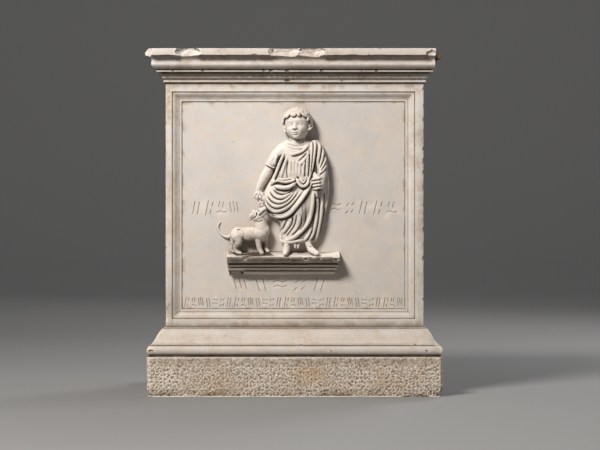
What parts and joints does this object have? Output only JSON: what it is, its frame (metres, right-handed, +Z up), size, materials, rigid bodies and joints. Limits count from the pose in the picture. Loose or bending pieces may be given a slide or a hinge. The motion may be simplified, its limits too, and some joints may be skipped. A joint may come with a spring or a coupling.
{
  "type": "carved stone stele",
  "caption": "Upright carved stone stele in one block: moulded cornice, sunk panel with a child in a toga and a dog in high relief on a ledge, moulded base and plinth.",
  "frame": {"origin": "middle of the plinth's underside, on the floor", "axes": "+Z up; the carved front faces -Y; +X to the right as seen from the front"},
  "size_m": [0.698, 0.488, 0.811],
  "materials": {
    "marble": "aged white marble, dressed smooth on the mouldings and rough-picked on the plinth, with a warm patina"
  },
  "bodies": {
    "root": {"funerary_altar": "marble"}
  },
  "joints": []
}
